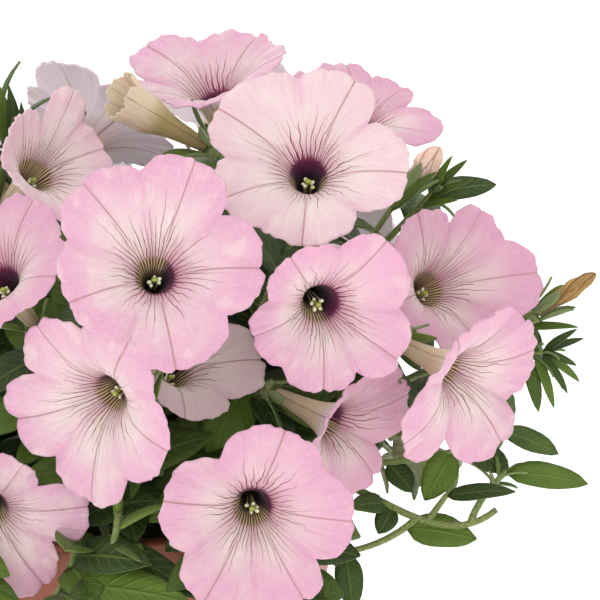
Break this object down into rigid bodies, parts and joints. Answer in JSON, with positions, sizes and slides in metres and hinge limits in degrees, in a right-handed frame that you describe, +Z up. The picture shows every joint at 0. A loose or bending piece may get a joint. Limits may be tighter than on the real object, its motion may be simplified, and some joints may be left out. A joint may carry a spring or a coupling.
{
  "type": "potted trailing petunia",
  "caption": "Trailing petunia of the hanging-basket kind in a plain round pot: a loose dome of pale pink trumpet blooms and leafy arching stems that spill over the rim.",
  "frame": {"origin": "centre of the flat underside of the pot", "axes": "+Z up along the pot's axis, -Y towards the side with the most blooms, +X to the right seen from that side"},
  "size_m": [0.3603, 0.3369, 0.3171],
  "materials": {
    "terracotta": "terracotta-coloured moulded plastic, slightly dusty",
    "soil": "dark crumbly potting soil",
    "petal": "soft pale pink petal with fine dark purple veins towards a dark throat",
    "faded": "wilting petal, cream and tan with brown stripes",
    "leaf": "matt green leaf with fine pale hairs",
    "tan": "dried and wrinkled, tan",
    "peach": "folded unopened petal, peach"
  },
  "bodies": {
    "root": {"pot": "terracotta", "soil": "soil", "bloom_01": "petal", "bloom_02": "petal", "bloom_03": "petal", "bloom_04": "petal", "bloom_05": "petal", "bloom_06": "petal", "bloom_07": "petal", "bloom_08": "petal", "bloom_09": "petal", "bloom_10": "petal", "bloom_11": "petal", "bloom_12": "petal", "bloom_13": "petal", "bloom_14": "faded", "bloom_15": "petal", "bloom_16": "petal", "bloom_17": "petal", "bloom_18": "petal", "bloom_19": "petal", "bloom_20": "petal", "bloom_21": "petal", "bloom_22": "petal", "bloom_23": "petal", "bloom_24": "petal", "bloom_25": "petal", "bloom_26": "petal", "bloom_27": "petal", "bloom_28": "petal", "bloom_29": "petal", "bud_tan": "tan", "bud_peach": "peach", "stem_01": "leaf", "stem_02": "leaf", "stem_03": "leaf", "stem_04": "leaf", "stem_05": "leaf", "stem_06": "leaf", "stem_07": "leaf", "stem_08": "leaf", "stem_09": "leaf", "stem_10": "leaf", "stem_11": "leaf", "stem_12": "leaf", "stem_13": "leaf", "stem_14": "leaf", "stem_15": "leaf", "stem_16": "leaf", "stem_17": "leaf", "stem_18": "leaf", "shoot_trailing": "leaf", "shoot_right": "leaf", "shoot_top": "leaf", "shoot_front": "leaf", "shoot_left": "leaf", "shoot_east": "leaf", "shoot_back": "leaf", "shoot_west": "leaf"}
  },
  "joints": []
}
